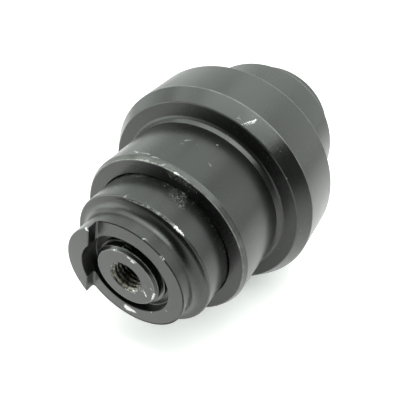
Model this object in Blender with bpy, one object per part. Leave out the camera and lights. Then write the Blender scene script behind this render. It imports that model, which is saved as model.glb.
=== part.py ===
"""Centre-flange track roller of a small excavator, as the pieces it comes apart into.

The roller's axis is Y, +Z is up and the origin is the roller's centre.  The near end faces -Y.
The shaft group (shaft, collars, circlips and the fixed halves of the seals) bolts to the track
frame and stands still.  The roller group (shell, bushes and the turning halves of the seals)
spins about Y.  Pieces of the near end are built at -Y.  The far end's pieces are the same
pieces turned half round about the lug's direction.
"""
import math

import bmesh
import bpy
from mathutils import Matrix, Quaternion, Vector

MM = 0.001

# Faceting
ROUND_STEPS = 48            # facets round the shell and the collars
INNER_STEPS = 32            # facets round the shaft, bushes and seals
SECTION_STEPS = 6           # sides of a rubber ring's section
GAP = 0.3 * MM              # gap kept between touching pieces

# Roller shell
FLANGE_R = 71.0 * MM
FLANGE_RIM_HALF = 15.6 * MM       # half width of the flange's rim
FLANGE_SHOULDER_R = 65.0 * MM     # where the side taper meets the side face
FLANGE_SHOULDER_HALF = 24.3 * MM
FLANGE_FOOT_HALF = 24.6 * MM      # half width where the side face meets the root fillet
TREAD_R = 53.8 * MM
ROOT_FILLET = 4.0 * MM
SHELL_HALF = 68.4 * MM
SHELL_EDGE_R = 52.3 * MM          # end face's outer radius, inside the worn edge
SHELL_EDGE_LENGTH = 2.7 * MM
MOUTH_R = 44.0 * MM               # counterbore that the collar's skirt runs in
MOUTH_FLOOR = 61.5 * MM
RESERVOIR_R = 27.0 * MM           # oil space between the bushes
RESERVOIR_HALF = 13.0 * MM

# Seal pockets, one in the shell and one in the collar, facing each other
SEAL_PLANE = 62.0 * MM            # where the two seal rings meet
POCKET_FLOOR = 10.0 * MM          # depth of each pocket's floor behind the seal plane
POCKET_FLOOR_R = 37.5 * MM
POCKET_MOUTH_R = 39.3 * MM

# Shaft
SHAFT_R = 20.0 * MM
SHAFT_HALF = 102.3 * MM
SHAFT_CHAMFER = 1.6 * MM
RELIEF_R = 18.5 * MM              # waist between the bushes
BOLT_HOLE_R = 8.8 * MM            # mean radius of the M20 x 2.5 thread
BOLT_HOLE_DEPTH = 34.0 * MM
COUNTERSINK_R = 10.3 * MM
PLUG_SEAT_R = 5.0 * MM
PLUG_SEAT_DEPTH = 10.0 * MM
GALLERY_R = 3.0 * MM
CROSS_HOLE_R = 2.5 * MM
GROOVE_R = 18.75 * MM             # circlip groove
GROOVE_START = 94.9 * MM
GROOVE_WIDTH = 2.35 * MM

# Bushes
BUSH_WALL_R = 24.0 * MM
BUSH_START = 14.0 * MM
BUSH_FLANGE_R = 28.5 * MM
BUSH_FLANGE_THICK = 3.5 * MM
BUSH_LEAD = 0.6 * MM

# Collars
COLLAR_R = 43.3 * MM
COLLAR_EDGE = 1.0 * MM
SKIRT_END = 62.5 * MM
HUB_R = 28.2 * MM
END_PLAY = 0.6 * MM               # between a bush's flange and the collar's hub
SHOULDER = 88.6 * MM              # axial place of the collar's shoulder
COVE_R = 5.4 * MM                 # hollow fillet between the shoulder and the boss
BOSS_R = 35.5 * MM
SEAT = 100.6 * MM                 # axial place of the milled seat
LUG_TOP = 106.8 * MM
LUG_FLAT = 21.8 * MM              # from the roller's axis to the lug's flat
LUG_ANGLE = math.radians(168.0)   # the lug's direction in the X-Z plane
LUG_FILLET = 1.5 * MM
RECESS_R = 25.8 * MM
RECESS_FLOOR = 94.8 * MM
COLLAR_RING_PLACE = 81.0 * MM     # axial place of the O-ring in the collar's bore
COLLAR_RING_R = 1.75 * MM         # O-ring section
COLLAR_RING_SLACK = 0.35 * MM     # side room in the O-ring's groove

# Seal rings and their rubber rings
SEAL_BORE_R = 29.3 * MM
SEAL_NOSE_R = 31.6 * MM
SEAL_NECK_R = 32.8 * MM
SEAL_FLANGE_R = 38.0 * MM
SEAL_LENGTH = 7.8 * MM
SEAL_FLANGE_THICK = 3.05 * MM
TORIC_R = 2.7 * MM
TORIC_CENTRE_R = 35.15 * MM
TORIC_BEHIND = 6.4 * MM           # from the seal plane back to the rubber ring's middle

# Circlips
CLIP_THICK = 1.75 * MM
CLIP_BORE_R = GROOVE_R + GAP
CLIP_THIN_R = 20.6 * MM           # outer radius beside the lugs
CLIP_BROAD_R = 22.4 * MM          # outer radius opposite the gap
CLIP_LUG_R = 25.0 * MM
CLIP_GAP_HALF = math.radians(9.0)
CLIP_LUG_END = math.radians(24.0)
CLIP_GAP_ANGLE = math.radians(75.0)
CLIP_HOLE_R = 1.25 * MM
CLIP_HOLE_PLACE = 22.4 * MM
CLIP_STEPS = 44

# Oil plugs
PLUG_R = 4.65 * MM
PLUG_LENGTH = 8.0 * MM
PLUG_BEHIND = 1.0 * MM            # plug's face below the bottom of the bolt hole
PLUG_CHAMFER = 0.6 * MM
SOCKET_FLATS = 5.0 * MM
SOCKET_DEPTH = 4.0 * MM


def clear_scene():
    for old in list(bpy.data.objects):
        bpy.data.objects.remove(old, do_unlink=True)


def steel(name, colour, roughness, metallic):
    material = bpy.data.materials.new(name)
    material.use_nodes = True
    shader = material.node_tree.nodes["Principled BSDF"]
    shader.inputs["Base Color"].default_value = (*colour, 1.0)
    shader.inputs["Roughness"].default_value = roughness
    shader.inputs["Metallic"].default_value = metallic
    return material


def arc(centre_r, centre_y, radius, start, end, steps):
    """Points (r, y) along an arc.  Angle 0 points outwards, along +r, and 90 degrees along +y."""
    points = []
    for i in range(steps + 1):
        angle = math.radians(start + (end - start) * i / steps)
        points.append((centre_r + radius * math.cos(angle), centre_y + radius * math.sin(angle)))
    return points


def new_object(name, bm, material):
    """One named object from a bmesh, its faces turned outwards and shaded smooth."""
    bmesh.ops.recalc_face_normals(bm, faces=bm.faces)
    mesh = bpy.data.meshes.new(name)
    bm.to_mesh(mesh)
    bm.free()
    mesh.shade_smooth()
    mesh.set_sharp_from_angle(angle=math.radians(30.0))
    mesh.materials.append(material)
    piece = bpy.data.objects.new(name, mesh)
    bpy.context.collection.objects.link(piece)
    return piece


def turned(name, outline, steps, material):
    """A piece turned about Y from its closed outline of (r, y) points.

    The outline starts half a facet round from +X, so that a whole facet faces straight down.
    """
    bm = bmesh.new()
    points = [bm.verts.new((r, y, 0.0)) for r, y in outline]
    edges = [bm.edges.new((a, b)) for a, b in zip(points, points[1:] + points[:1])]
    bmesh.ops.rotate(bm, verts=points, matrix=Matrix.Rotation(math.pi / steps, 3, "Y"))
    bmesh.ops.spin(
        bm, geom=points + edges, cent=(0.0, 0.0, 0.0), axis=(0.0, 1.0, 0.0),
        angle=math.tau, steps=steps, use_merge=True)
    bmesh.ops.remove_doubles(bm, verts=bm.verts, dist=1e-6)
    return new_object(name, bm, material)


def prism(name, outline, height, material):
    """A flat outline of (x, y) points raised along Z by the height."""
    bm = bmesh.new()
    base = bm.faces.new([bm.verts.new((x, y, 0.0)) for x, y in outline])
    raised = bmesh.ops.extrude_face_region(bm, geom=[base])["geom"]
    corners = [part for part in raised if isinstance(part, bmesh.types.BMVert)]
    bmesh.ops.translate(bm, verts=corners, vec=(0.0, 0.0, height))
    return new_object(name, bm, material)


def cut(piece, cutter):
    """Subtract the cutter from the piece's mesh and take the cutter away."""
    modifier = piece.modifiers.new("cut", "BOOLEAN")
    modifier.operation = "DIFFERENCE"
    modifier.solver = "EXACT"
    modifier.object = cutter
    whole = piece.data
    seen = piece.evaluated_get(bpy.context.evaluated_depsgraph_get())
    piece.data = bpy.data.meshes.new_from_object(seen)
    piece.data.name = piece.name
    piece.modifiers.clear()
    bpy.data.meshes.remove(whole)
    bpy.data.objects.remove(cutter, do_unlink=True)


def near_side(outline):
    """The same outline at the near end, which is at -Y."""
    return [(r, -y) for r, y in outline]


def both_ends(half):
    """A whole outline from the half at +Y: out along +Y, then back along -Y."""
    return half + [(r, -y) for r, y in reversed(half)]


def shell_outline():
    root = arc(TREAD_R + ROOT_FILLET, FLANGE_FOOT_HALF + ROOT_FILLET, ROOT_FILLET, 270, 180, 4)
    half = [
        (FLANGE_R, FLANGE_RIM_HALF),
        (FLANGE_SHOULDER_R, FLANGE_SHOULDER_HALF),
        *root,
        (TREAD_R, SHELL_HALF - SHELL_EDGE_LENGTH),
        (SHELL_EDGE_R, SHELL_HALF),
        (MOUTH_R, SHELL_HALF),
        (MOUTH_R, MOUTH_FLOOR),
        (POCKET_MOUTH_R, MOUTH_FLOOR),
        (POCKET_FLOOR_R, SEAL_PLANE - POCKET_FLOOR),
        (BUSH_WALL_R + GAP, SEAL_PLANE - POCKET_FLOOR),
        (BUSH_WALL_R + GAP, RESERVOIR_HALF),
        (RESERVOIR_R, RESERVOIR_HALF),
    ]
    return both_ends(half)


def shaft_outline():
    thread_start = SHAFT_HALF - (COUNTERSINK_R - BOLT_HOLE_R)
    hole_floor = SHAFT_HALF - BOLT_HOLE_DEPTH
    half = [
        (RELIEF_R, RESERVOIR_HALF),
        (SHAFT_R, RESERVOIR_HALF + SHAFT_R - RELIEF_R),
        (SHAFT_R, GROOVE_START),
        (GROOVE_R, GROOVE_START),
        (GROOVE_R, GROOVE_START + GROOVE_WIDTH),
        (SHAFT_R, GROOVE_START + GROOVE_WIDTH),
        (SHAFT_R, SHAFT_HALF - SHAFT_CHAMFER),
        (SHAFT_R - SHAFT_CHAMFER, SHAFT_HALF),
        (COUNTERSINK_R, SHAFT_HALF),
        (BOLT_HOLE_R, thread_start),
        (BOLT_HOLE_R, hole_floor),
        (PLUG_SEAT_R, hole_floor),
        (PLUG_SEAT_R, hole_floor - PLUG_SEAT_DEPTH),
        (GALLERY_R, hole_floor - PLUG_SEAT_DEPTH),
    ]
    return both_ends(half)


def bush_outline():
    flange_foot = SEAL_PLANE - POCKET_FLOOR + GAP
    bore = SHAFT_R + GAP
    return near_side([
        (bore, BUSH_START),
        (BUSH_WALL_R - BUSH_LEAD, BUSH_START),
        (BUSH_WALL_R, BUSH_START + BUSH_LEAD),
        (BUSH_WALL_R, flange_foot),
        (BUSH_FLANGE_R, flange_foot),
        (BUSH_FLANGE_R, flange_foot + BUSH_FLANGE_THICK),
        (bore + BUSH_LEAD, flange_foot + BUSH_FLANGE_THICK),
        (bore, flange_foot + BUSH_FLANGE_THICK - BUSH_LEAD),
    ])


def collar_outline():
    bore = SHAFT_R + GAP
    hub_end = SEAL_PLANE - POCKET_FLOOR + GAP + BUSH_FLANGE_THICK + END_PLAY
    ring_half = COLLAR_RING_R + COLLAR_RING_SLACK
    ring_floor = bore + 2.0 * COLLAR_RING_R + GAP
    cove = arc(BOSS_R + COVE_R, SHOULDER + COVE_R, COVE_R, 270, 180, 4)
    return near_side([
        (bore, hub_end),
        (HUB_R, hub_end),
        (HUB_R, SEAL_PLANE + POCKET_FLOOR),
        (POCKET_FLOOR_R, SEAL_PLANE + POCKET_FLOOR),
        (POCKET_MOUTH_R, SKIRT_END),
        (COLLAR_R - COLLAR_EDGE, SKIRT_END),
        (COLLAR_R, SKIRT_END + COLLAR_EDGE),
        (COLLAR_R, SHOULDER - COLLAR_EDGE),
        (COLLAR_R - COLLAR_EDGE, SHOULDER),
        *cove,
        (BOSS_R, LUG_TOP),
        (RECESS_R, LUG_TOP),
        (RECESS_R, RECESS_FLOOR),
        (bore, RECESS_FLOOR),
        (bore, COLLAR_RING_PLACE + ring_half),
        (ring_floor, COLLAR_RING_PLACE + ring_half),
        (ring_floor, COLLAR_RING_PLACE - ring_half),
        (bore, COLLAR_RING_PLACE - ring_half),
    ])


def seal_outline(facing):
    """One metal seal ring.  facing is +1 for the turning ring and -1 for the fixed one."""
    face = GAP / 2.0
    flange_back = face + SEAL_FLANGE_THICK
    nose = face + SEAL_LENGTH
    depths = [
        (SEAL_BORE_R, nose),
        (SEAL_NOSE_R, nose),
        (SEAL_NECK_R, flange_back),
        (SEAL_FLANGE_R, flange_back),
        (SEAL_FLANGE_R, face + BUSH_LEAD),
        (SEAL_FLANGE_R - BUSH_LEAD, face),
        (SEAL_BORE_R, face),
    ]
    return near_side([(r, SEAL_PLANE - facing * depth) for r, depth in depths])


def rubber_ring_outline(centre_r, place, radius):
    section = arc(centre_r, place, radius, 0, 360, SECTION_STEPS)
    return near_side(section[:-1])


def make_shell(material):
    return turned("roller_shell", shell_outline(), ROUND_STEPS, material)


def make_shaft(material):
    """The shaft, with its oil gallery's cross hole drilled through the waist."""
    shaft = turned("shaft", shaft_outline(), INNER_STEPS, material)
    drill_outline = [
        (CROSS_HOLE_R * math.cos(i * math.tau / 12), CROSS_HOLE_R * math.sin(i * math.tau / 12))
        for i in range(12)
    ]
    drill = prism("cross_hole_drill", drill_outline, 2.0 * SHAFT_R + 2.0 * MM, material)
    drill.location = (0.0, 0.0, -SHAFT_R - 1.0 * MM)
    cut(shaft, drill)
    return shaft


def make_collar(name, material):
    """A collar, turned and then milled down to its seat everywhere but at the lug."""
    collar = turned(name, collar_outline(), ROUND_STEPS, material)
    cut(collar, make_lug_cutter(material))
    return collar


def make_lug_cutter(material):
    """What the milling cutter takes away: all of the end beyond the flat, down to the seat."""
    reach = BOSS_R + 5.0 * MM
    over = LUG_TOP + 5.0 * MM
    corner = arc(LUG_FLAT - LUG_FILLET, SEAT + LUG_FILLET, LUG_FILLET, 0, -90, 4)
    outline = [(LUG_FLAT, -over), *[(u, -y) for u, y in corner], (-reach, -SEAT), (-reach, -over)]
    cutter = prism("lug_cutter", outline, 2.0 * reach, material)
    cutter.data.transform(Matrix.Translation((0.0, 0.0, -reach)))
    cutter.rotation_euler = (0.0, -LUG_ANGLE, 0.0)
    return cutter


def clip_radius(angle):
    """A circlip's outer radius at an angle from its gap: lug, thin arm, then broad back."""
    if angle < CLIP_LUG_END:
        return CLIP_LUG_R
    return CLIP_THIN_R + (CLIP_BROAD_R - CLIP_THIN_R) * (1.0 - math.cos(angle)) / 2.0


def make_circlip(name, material):
    """An external circlip: an open ring that broadens away from its gap, with two drilled lugs."""
    span = math.tau - 2.0 * CLIP_GAP_HALF
    turns = [CLIP_GAP_HALF + span * i / CLIP_STEPS for i in range(CLIP_STEPS + 1)]
    inner = []
    outer = []
    for turn in turns:
        angle = CLIP_GAP_ANGLE + turn
        radius = clip_radius(min(turn, math.tau - turn))
        inner.append((CLIP_BORE_R * math.cos(angle), CLIP_BORE_R * math.sin(angle)))
        outer.append((radius * math.cos(angle), radius * math.sin(angle)))
    clip = prism(name, outer + inner[::-1], CLIP_THICK, material)
    clip.data.transform(Matrix.Rotation(math.pi / 2.0, 4, "X"))
    clip.data.transform(Matrix.Translation((0.0, -RECESS_FLOOR - GAP, 0.0)))
    for side in (-1, 1):
        cut(clip, make_clip_drill(side, material))
    return clip


def make_clip_drill(side, material):
    """The drill of one lug's plier hole."""
    angle = CLIP_GAP_ANGLE + side * (CLIP_GAP_HALF + CLIP_LUG_END) / 2.0
    place = Vector((math.cos(angle), 0.0, math.sin(angle))) * CLIP_HOLE_PLACE
    place.y = -RECESS_FLOOR - GAP - CLIP_THICK / 2.0
    upright = Matrix.Translation(place) @ Matrix.Rotation(math.pi / 2.0, 4, "X")
    bm = bmesh.new()
    bmesh.ops.create_cone(
        bm, cap_ends=True, segments=12, radius1=CLIP_HOLE_R, radius2=CLIP_HOLE_R,
        depth=2.0 * CLIP_THICK, matrix=upright)
    return new_object("clip_drill", bm, material)


def make_plug(name, material):
    """A round oil plug with a hexagon socket in the face that a key reaches."""
    face = SHAFT_HALF - BOLT_HOLE_DEPTH - PLUG_BEHIND
    outline = near_side([
        (0.0, face - PLUG_LENGTH),
        (PLUG_R - PLUG_CHAMFER, face - PLUG_LENGTH),
        (PLUG_R, face - PLUG_LENGTH + PLUG_CHAMFER),
        (PLUG_R, face - PLUG_CHAMFER),
        (PLUG_R - PLUG_CHAMFER, face),
        (0.0, face),
    ])
    bm = bmesh.new()
    points = [bm.verts.new((r, y, 0.0)) for r, y in outline]
    edges = [bm.edges.new((a, b)) for a, b in zip(points, points[1:])]
    bmesh.ops.spin(
        bm, geom=points + edges, cent=(0.0, 0.0, 0.0), axis=(0.0, 1.0, 0.0),
        angle=math.tau, steps=20, use_merge=True)
    bmesh.ops.remove_doubles(bm, verts=bm.verts, dist=1e-6)
    plug = new_object(name, bm, material)
    cut(plug, make_socket_broach(material))
    return plug


def make_socket_broach(material):
    """The plug's hexagon socket."""
    corner = SOCKET_FLATS / math.sqrt(3.0)
    hexagon = [
        (corner * math.cos(i * math.tau / 6), corner * math.sin(i * math.tau / 6))
        for i in range(6)
    ]
    broach = prism("socket_broach", hexagon, SOCKET_DEPTH + 1.0 * MM, material)
    broach.data.transform(Matrix.Rotation(math.pi / 2.0, 4, "X"))
    face = SHAFT_HALF - BOLT_HOLE_DEPTH - PLUG_BEHIND
    broach.location = (0.0, -face + SOCKET_DEPTH, 0.0)
    return broach


def axis_empty(name):
    """An empty on the roller's axis, for the pieces that move together."""
    empty = bpy.data.objects.new(name, None)
    bpy.context.collection.objects.link(empty)
    return empty


def far_copy(piece):
    """The far end's piece: the near end's, turned half round about the lug's direction."""
    copy = piece.copy()
    copy.name = piece.name.replace("near_", "far_")
    bpy.context.collection.objects.link(copy)
    lug = Vector((math.cos(LUG_ANGLE), 0.0, math.sin(LUG_ANGLE)))
    copy.rotation_mode = "QUATERNION"
    copy.rotation_quaternion = Quaternion(lug, math.pi)
    return copy


def main():
    clear_scene()
    paint = steel("black_paint", (0.035, 0.037, 0.035), 0.38, 0.0)
    ground = steel("ground_steel", (0.42, 0.42, 0.41), 0.25, 1.0)
    bronze = steel("bronze", (0.55, 0.36, 0.16), 0.35, 1.0)
    iron = steel("hard_cast_iron", (0.30, 0.30, 0.31), 0.30, 1.0)
    spring = steel("spring_steel", (0.10, 0.10, 0.11), 0.35, 1.0)
    nitrile = steel("nitrile_rubber", (0.02, 0.02, 0.02), 0.60, 0.0)

    fixed_group = axis_empty("shaft_group_axis")
    roller_group = axis_empty("roller_axis")

    shell = make_shell(paint)
    shell.parent = roller_group
    shaft = make_shaft(ground)
    shaft.parent = fixed_group

    collar_ring_r = SHAFT_R + GAP + COLLAR_RING_R
    fixed_pieces = [
        make_collar("near_collar", paint),
        make_circlip("near_circlip", spring),
        make_plug("near_oil_plug", spring),
        turned("near_collar_o_ring",
               rubber_ring_outline(collar_ring_r, COLLAR_RING_PLACE, COLLAR_RING_R),
               INNER_STEPS, nitrile),
        turned("near_fixed_seal_ring", seal_outline(-1), INNER_STEPS, iron),
        turned("near_fixed_seal_rubber",
               rubber_ring_outline(TORIC_CENTRE_R, SEAL_PLANE + TORIC_BEHIND, TORIC_R),
               INNER_STEPS, nitrile),
    ]
    turning_pieces = [
        turned("near_bush", bush_outline(), INNER_STEPS, bronze),
        turned("near_turning_seal_ring", seal_outline(1), INNER_STEPS, iron),
        turned("near_turning_seal_rubber",
               rubber_ring_outline(TORIC_CENTRE_R, SEAL_PLANE - TORIC_BEHIND, TORIC_R),
               INNER_STEPS, nitrile),
    ]
    for group, pieces in ((fixed_group, fixed_pieces), (roller_group, turning_pieces)):
        for piece in pieces:
            for end_piece in (piece, far_copy(piece)):
                end_piece.parent = group


main()
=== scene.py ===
"""Looks of the centre-flange track roller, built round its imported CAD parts.

Each piece stands for one CAD part and is made again at that part's sizes, with finer steps and
rounded edges.  What is too fine for the CAD parts is added: a real thread in the tapped holes, a
line scored round each seat, and the slope and the hollow at the flange's root.

The roller's axis is Y, the near end faces -Y and +Z is up.  Lengths are in mm, and new_piece
makes metres of them.  The far end's pieces are the near end's, turned half round about the
lug's direction.
"""
import math

import bmesh
import bpy
from mathutils import Matrix, Vector

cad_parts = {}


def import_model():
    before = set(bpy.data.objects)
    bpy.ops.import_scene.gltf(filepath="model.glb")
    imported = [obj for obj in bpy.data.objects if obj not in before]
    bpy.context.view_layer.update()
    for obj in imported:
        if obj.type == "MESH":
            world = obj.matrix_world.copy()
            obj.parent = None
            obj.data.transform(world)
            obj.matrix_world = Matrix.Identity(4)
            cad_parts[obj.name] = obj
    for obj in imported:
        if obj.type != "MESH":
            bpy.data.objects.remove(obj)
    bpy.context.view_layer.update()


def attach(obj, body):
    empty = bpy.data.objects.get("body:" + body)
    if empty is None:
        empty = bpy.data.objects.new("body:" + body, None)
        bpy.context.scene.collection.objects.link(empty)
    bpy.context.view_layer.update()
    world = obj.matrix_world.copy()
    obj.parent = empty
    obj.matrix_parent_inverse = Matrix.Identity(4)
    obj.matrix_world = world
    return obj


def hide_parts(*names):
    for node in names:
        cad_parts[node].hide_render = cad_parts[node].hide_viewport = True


MM = 0.001                  # in metres
GAP = 0.3                   # gap between touching pieces, as in the CAD parts
SKIN = 0.02                 # a hair's breadth, which tells nearly touching surfaces apart
MERGE = 1e-4                # points nearer than this become one
STRAIGHT = 0.01             # an outline's corner that turns less than this isn't rounded
PAST = 1.0                  # how far a cutter runs past the faces that it cuts

# Steps of the round shapes
ROUND_STEPS = 320           # round the shell and the collars
INNER_STEPS = 160           # round the shaft and the pieces inside
PLUG_STEPS = 64             # round an oil plug
DRILL_STEPS = 32            # round the shaft's cross hole
RUBBER_STEPS = 24           # round a rubber ring's section
CLIP_STEPS = 150            # along a circlip
CLIP_HOLE_STEPS = 28        # round the holes in its lugs
ARC_STEP = math.radians(12.0)

# Rounded edges and shading
BEVEL_SEGMENTS = 4
BEVEL_FROM = math.radians(40.0)     # edges that turn more than this are rounded
SHARP_FROM = math.radians(26.0)     # and those that turn more than this are shaded sharp

# Roller shell: half widths and radii
FLANGE_R = 71.0
FLANGE_RIM_HALF = 15.6
FLANGE_SHOULDER_R = 65.0
FLANGE_SHOULDER_HALF = 24.3
FLANGE_FOOT_HALF = 24.6
ROOT_LENGTH = 3.2           # the slope from the tread up to the flange's side, and its rise
ROOT_RISE = 1.85
ROOT_ROUND = 2.6            # the hollow where it meets the side
TREAD_R = 53.8
SHELL_HALF = 68.4
SHELL_EDGE_R = 52.3
SHELL_EDGE_LENGTH = 2.7
MOUTH_R = 44.0
MOUTH_FLOOR = 61.5
RESERVOIR_R = 27.0
RESERVOIR_HALF = 13.0

# Seal pockets and seal rings
SEAL_PLANE = 62.0
POCKET_DEPTH = 10.0
POCKET_FLOOR_R = 37.5
POCKET_MOUTH_R = 39.3
SEAL_BORE_R = 29.3
SEAL_NOSE_R = 31.6
SEAL_NECK_R = 32.8
SEAL_FLANGE_R = 38.0
SEAL_LENGTH = 7.8
SEAL_FLANGE_THICK = 3.05
TORIC_R = 2.7
TORIC_CENTRE_R = 35.15
TORIC_BEHIND = 6.4

# Shaft and its tapped holes
SHAFT_R = 20.0
SHAFT_HALF = 102.3
SHAFT_CHAMFER = 1.6
RELIEF_R = 18.5
BOLT_HOLE_DEPTH = 34.0
COUNTERSINK_R = 10.3
THREAD_PITCH = 2.5
THREAD_MINOR_R = 8.65
THREAD_HEIGHT = 1.35
THREAD_LENGTH = 30.0
THREAD_ROWS = 14            # rows of points to one pitch
THREAD_ROOT = 1.0 / 16.0    # half the flat at a turn's root, in pitches
THREAD_FLANK = 5.0 / 16.0   # and the width of its flank
THREAD_RUNOUT = 1.5         # and the length over which the last turns fade
PLUG_SEAT_R = 5.0
PLUG_SEAT_DEPTH = 10.0
GALLERY_R = 3.0
CROSS_HOLE_R = 2.5
GROOVE_R = 18.75
GROOVE_START = 94.9
GROOVE_WIDTH = 2.35

# Bushes
BUSH_WALL_R = 24.0
BUSH_START = 14.0
BUSH_FLANGE_R = 28.5
BUSH_FLANGE_THICK = 3.5

# Collars
COLLAR_R = 43.3
SKIRT_END = 62.5
HUB_R = 28.2
END_PLAY = 0.6
SHOULDER = 88.6
COVE_R = 5.4
BOSS_R = 35.5
SEAT = 100.6
SCORE = 0.6                 # width and depth of the line scored round the seat
SCORE_IN = 0.3              # and how far it is from the seat's edge
LUG_TOP = 106.8
LUG_FLAT = 21.8
LUG_ANGLE = math.radians(168.0)
LUG_FILLET = 1.5
LUG_EDGE = 0.5
LUG_SUNK = 3.0              # how far it reaches down into the boss
RECESS_R = 25.8
RECESS_FLOOR = 94.8
COLLAR_RING_PLACE = 81.0
COLLAR_RING_R = 1.75
COLLAR_RING_SLACK = 0.35

# Circlips
CLIP_THICK = 1.75
CLIP_THIN_R = 20.6
CLIP_BROAD_R = 22.4
CLIP_LUG_R = 25.0
CLIP_GAP_HALF = math.radians(9.0)
CLIP_LUG_END = math.radians(24.0)
CLIP_GAP_ANGLE = math.radians(75.0)
CLIP_HOLE_R = 1.25
CLIP_HOLE_PLACE = 22.4
CLIP_EDGE = 0.25

# Oil plugs
PLUG_R = 4.65
PLUG_LENGTH = 8.0
PLUG_BEHIND = 1.0           # how far it is sunk below the bolt hole's floor
SOCKET_FLATS = 5.0
SOCKET_DEPTH = 4.0


# Shapes


def arc(centre_r, centre_y, radius, start, end, steps):
    """Points (r, y) along an arc, with angles in degrees from +r towards +y."""
    angles = [math.radians(start + (end - start) * i / steps) for i in range(steps + 1)]
    return [(centre_r + radius * math.cos(a), centre_y + radius * math.sin(a)) for a in angles]


def polygon(radius, sides):
    """Points (x, y) evenly round a circle."""
    angles = [i * math.tau / sides for i in range(sides)]
    return [(radius * math.cos(a), radius * math.sin(a)) for a in angles]


def rounded(corners):
    """A closed outline of (r, y) points from corners (r, y, edge radius)."""
    outline = []
    for before, corner, after in zip(corners[-1:] + corners[:-1], corners,
                                     corners[1:] + corners[:1]):
        here = Vector(corner[:2])
        back = (Vector(before[:2]) - here).normalized()
        ahead = (Vector(after[:2]) - here).normalized()
        turn = math.pi - back.angle(ahead)
        radius = corner[2]
        if radius == 0.0 or turn < STRAIGHT:
            outline.append(tuple(here))
            continue
        centre = here + (back + ahead).normalized() * radius / math.cos(turn / 2.0)
        start = here + back * radius * math.tan(turn / 2.0) - centre
        way = math.copysign(1.0, back.cross(ahead) * -1.0)
        steps = max(2, round(turn / ARC_STEP))
        for i in range(steps + 1):
            swung = Matrix.Rotation(way * turn * i / steps, 2) @ start
            outline.append(tuple(centre + swung))
    return outline


def both_ends(half):
    """A whole outline of corners from the half at +Y."""
    return half + [(r, -y, edge) for r, y, edge in reversed(half)]


def near_side(corners):
    """The same corners at the near end, which is at -Y."""
    return [(r, -y, edge) for r, y, edge in corners]


def new_piece(name, bm):
    """One named object in metres from a bmesh in mm, with its faces turned out."""
    bmesh.ops.recalc_face_normals(bm, faces=bm.faces)
    bmesh.ops.scale(bm, verts=bm.verts, vec=(MM, MM, MM))
    mesh = bpy.data.meshes.new(name)
    bm.to_mesh(mesh)
    bm.free()
    piece = bpy.data.objects.new(name, mesh)
    bpy.context.scene.collection.objects.link(piece)
    return piece


def turned(name, corners, steps, wall=None):
    """A piece turned about Y.  wall(angle, r, y), if given, says the radius of each point."""
    outline = rounded(corners)
    bm = bmesh.new()
    rings = []
    for k in range(steps):
        angle = math.tau * (k + 0.5) / steps
        radii = [wall(angle, r, y) if wall else r for r, y in outline]
        rings.append([
            bm.verts.new((r * math.cos(angle), y, r * math.sin(angle)))
            for r, (_, y) in zip(radii, outline)
        ])
    for ring, beside in zip(rings, rings[1:] + rings[:1]):
        for i in range(len(outline)):
            bm.faces.new((ring[i - 1], ring[i], beside[i], beside[i - 1]))
    bmesh.ops.remove_doubles(bm, verts=bm.verts, dist=MERGE)
    bmesh.ops.dissolve_degenerate(bm, edges=bm.edges, dist=MERGE)
    return new_piece(name, bm)


def on_round(angle, r, y):
    """The place at an angle in degrees round the axis, a radius and a place along it."""
    return Vector((r * math.cos(math.radians(angle)), y, r * math.sin(math.radians(angle))))


def prism(name, outline, height):
    """A flat outline of (x, y) points raised along Z by the height."""
    bm = bmesh.new()
    base = bm.faces.new([bm.verts.new((x, y, 0.0)) for x, y in outline])
    raised = bmesh.ops.extrude_face_region(bm, geom=[base])["geom"]
    corners = [part for part in raised if isinstance(part, bmesh.types.BMVert)]
    bmesh.ops.translate(bm, verts=corners, vec=(0.0, 0.0, height))
    return new_piece(name, bm)


def face_near(piece):
    """Turn a prism, which rises along +Z, to rise along -Y."""
    piece.data.transform(Matrix.Rotation(math.pi / 2.0, 4, "X"))


def apply_modifiers(piece):
    """The piece's mesh becomes what its modifiers make of it."""
    whole = piece.data
    seen = piece.evaluated_get(bpy.context.evaluated_depsgraph_get())
    piece.data = bpy.data.meshes.new_from_object(seen)
    piece.data.name = piece.name
    piece.modifiers.clear()
    bpy.data.meshes.remove(whole)


def combine(piece, tool, operation):
    """Join the tool to the piece (UNION) or cut it away (DIFFERENCE); the tool is used up."""
    modifier = piece.modifiers.new("combine", "BOOLEAN")
    modifier.operation = operation
    modifier.solver = "EXACT"
    modifier.object = tool
    apply_modifiers(piece)
    bpy.data.objects.remove(tool, do_unlink=True)


def soften(piece, width):
    """Round the piece's sharp edges."""
    bevel = piece.modifiers.new("edges", "BEVEL")
    bevel.width = width * MM
    bevel.segments = BEVEL_SEGMENTS
    bevel.limit_method = "ANGLE"
    bevel.angle_limit = BEVEL_FROM
    apply_modifiers(piece)


def shade(piece):
    """Smooth shading that keeps flat faces flat between their rounded edges."""
    piece.data.shade_smooth()
    piece.data.set_sharp_from_angle(angle=SHARP_FROM)
    normals = piece.modifiers.new("normals", "WEIGHTED_NORMAL")
    normals.keep_sharp = True


def far_copy(piece):
    """The far end's piece, turned half round about the lug's direction."""
    copy = piece.copy()
    copy.data = piece.data.copy()
    copy.name = piece.name.replace("near_", "far_")
    bpy.context.scene.collection.objects.link(copy)
    lug = Vector((math.cos(LUG_ANGLE), 0.0, math.sin(LUG_ANGLE)))
    copy.data.transform(Matrix.Rotation(math.pi, 4, lug))
    return copy


# Pieces


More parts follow.
